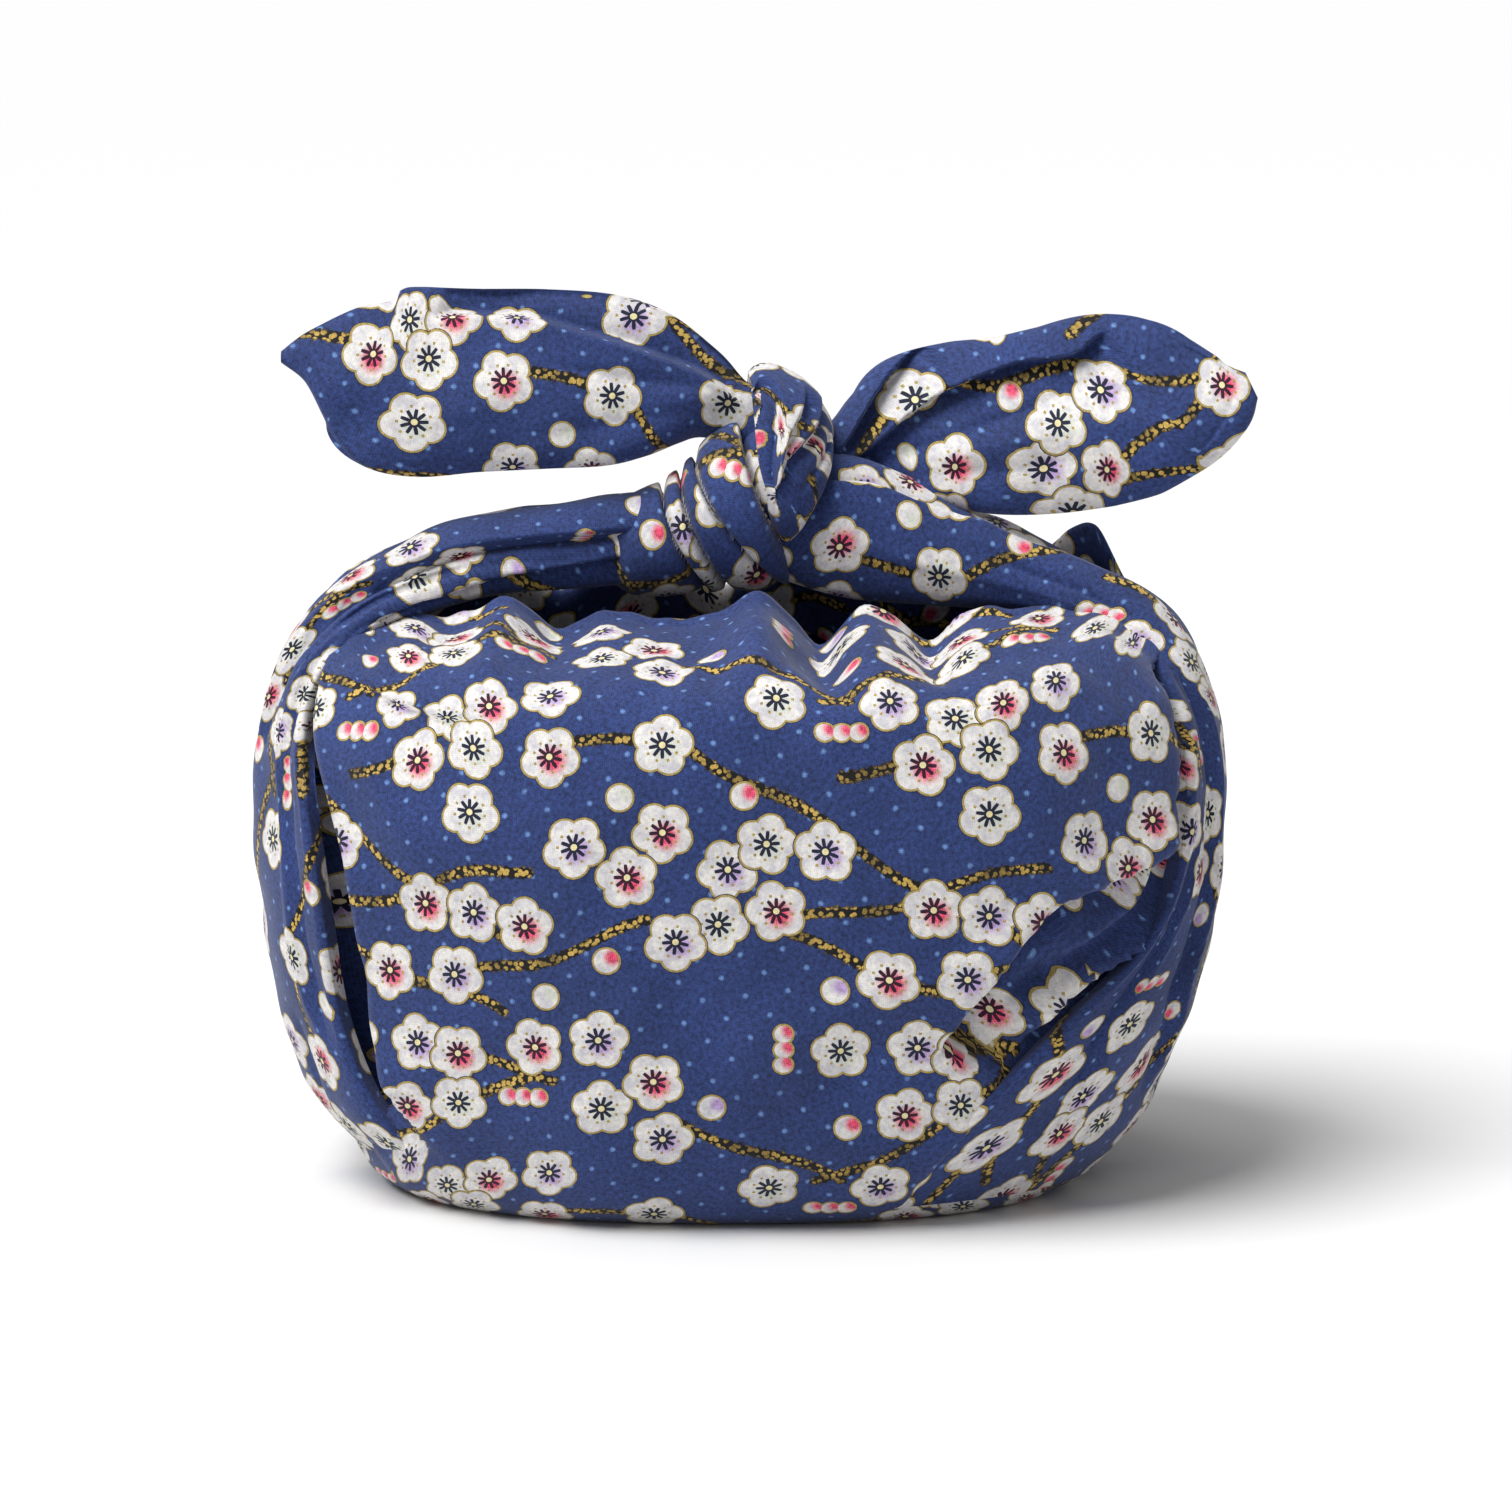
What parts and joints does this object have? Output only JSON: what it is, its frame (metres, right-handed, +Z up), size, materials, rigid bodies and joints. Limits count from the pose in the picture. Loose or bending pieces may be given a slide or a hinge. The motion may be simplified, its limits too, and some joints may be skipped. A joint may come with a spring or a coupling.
{
  "type": "furoshiki bag",
  "caption": "Square printed cotton wrapping cloth tied into a rounded bag: open mouth under two gathered bands, a square knot over it and two leaf-like free ends.",
  "frame": {"origin": "centre of the flat base, on the surface the bag stands on", "axes": "+Z up, -Y towards the side that the front view shows, +X along the mouth from one free end to the other, right in the front view"},
  "size_m": [0.2178, 0.1571, 0.1948],
  "materials": {
    "printed_cotton": "matte plain-weave cotton with a printed pattern"
  },
  "bodies": {
    "root": {"furoshiki": "printed_cotton"}
  },
  "joints": []
}
